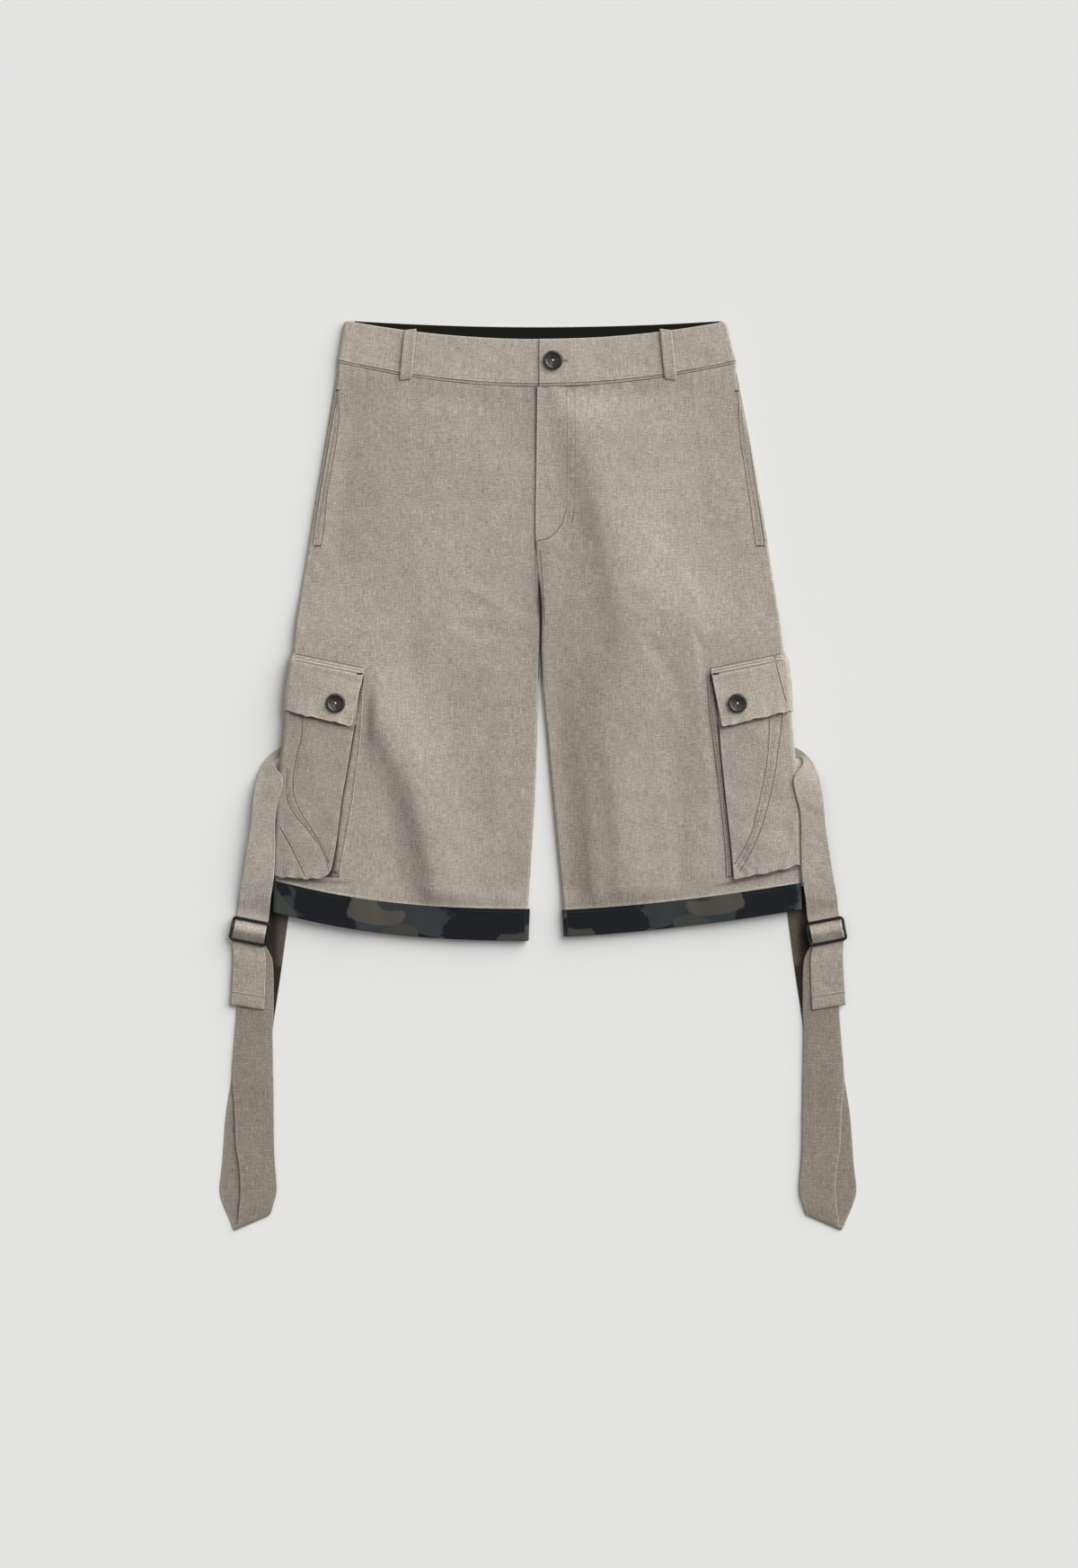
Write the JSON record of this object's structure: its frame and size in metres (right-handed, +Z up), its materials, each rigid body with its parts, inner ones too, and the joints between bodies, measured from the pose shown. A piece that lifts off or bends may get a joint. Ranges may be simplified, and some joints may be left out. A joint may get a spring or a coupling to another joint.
{
  "type": "cargo bermuda shorts",
  "caption": "Knee-length cargo shorts laid flat, front up, with bellows pockets, a camouflage hem band and a buckled strap loop at each side.",
  "frame": {"origin": "middle of the outline on the surface that the shorts lie on", "axes": "+Z up out of the front of the shorts, +Y towards the waist, +X towards the wearer's left side"},
  "size_m": [0.6168, 0.8816, 0.0186],
  "materials": {
    "shell_cloth": "washed slubby linen-look plain weave",
    "camouflage": "dark camouflage poplin",
    "facing": "near-black green cotton",
    "zip": "plain coil zip on a woven tape",
    "buckle_metal": "black enamelled wire",
    "button_horn": "dark brown horn look, half polished"
  },
  "bodies": {
    "root": {"front_right": "shell_cloth", "front_left": "shell_cloth", "back_right": "shell_cloth", "back_left": "shell_cloth", "waistband_right": "shell_cloth", "waistband_left": "shell_cloth", "waistband_facing": "facing", "fly_shield": "shell_cloth", "fly_zip": "zip", "side_pocket_right": "shell_cloth", "side_pocket_left": "shell_cloth", "belt_loop_front_right": "shell_cloth", "belt_loop_front_left": "shell_cloth", "belt_loop_back_right": "shell_cloth", "belt_loop_back_left": "shell_cloth", "belt_loop_back_centre": "shell_cloth", "cargo_bag_right": "shell_cloth", "cargo_bag_left": "shell_cloth", "cargo_gusset_right": "shell_cloth", "cargo_gusset_left": "shell_cloth", "cargo_flap_right": "shell_cloth", "cargo_flap_left": "shell_cloth", "hem_band_right": "camouflage", "hem_band_left": "camouflage", "strap_upper_right": "shell_cloth", "strap_upper_left": "shell_cloth", "strap_lower_right": "shell_cloth", "strap_lower_left": "shell_cloth", "buckle_right": "buckle_metal", "buckle_left": "buckle_metal", "button_waist": "button_horn", "button_pocket_right": "button_horn", "button_pocket_left": "button_horn"}
  },
  "joints": []
}
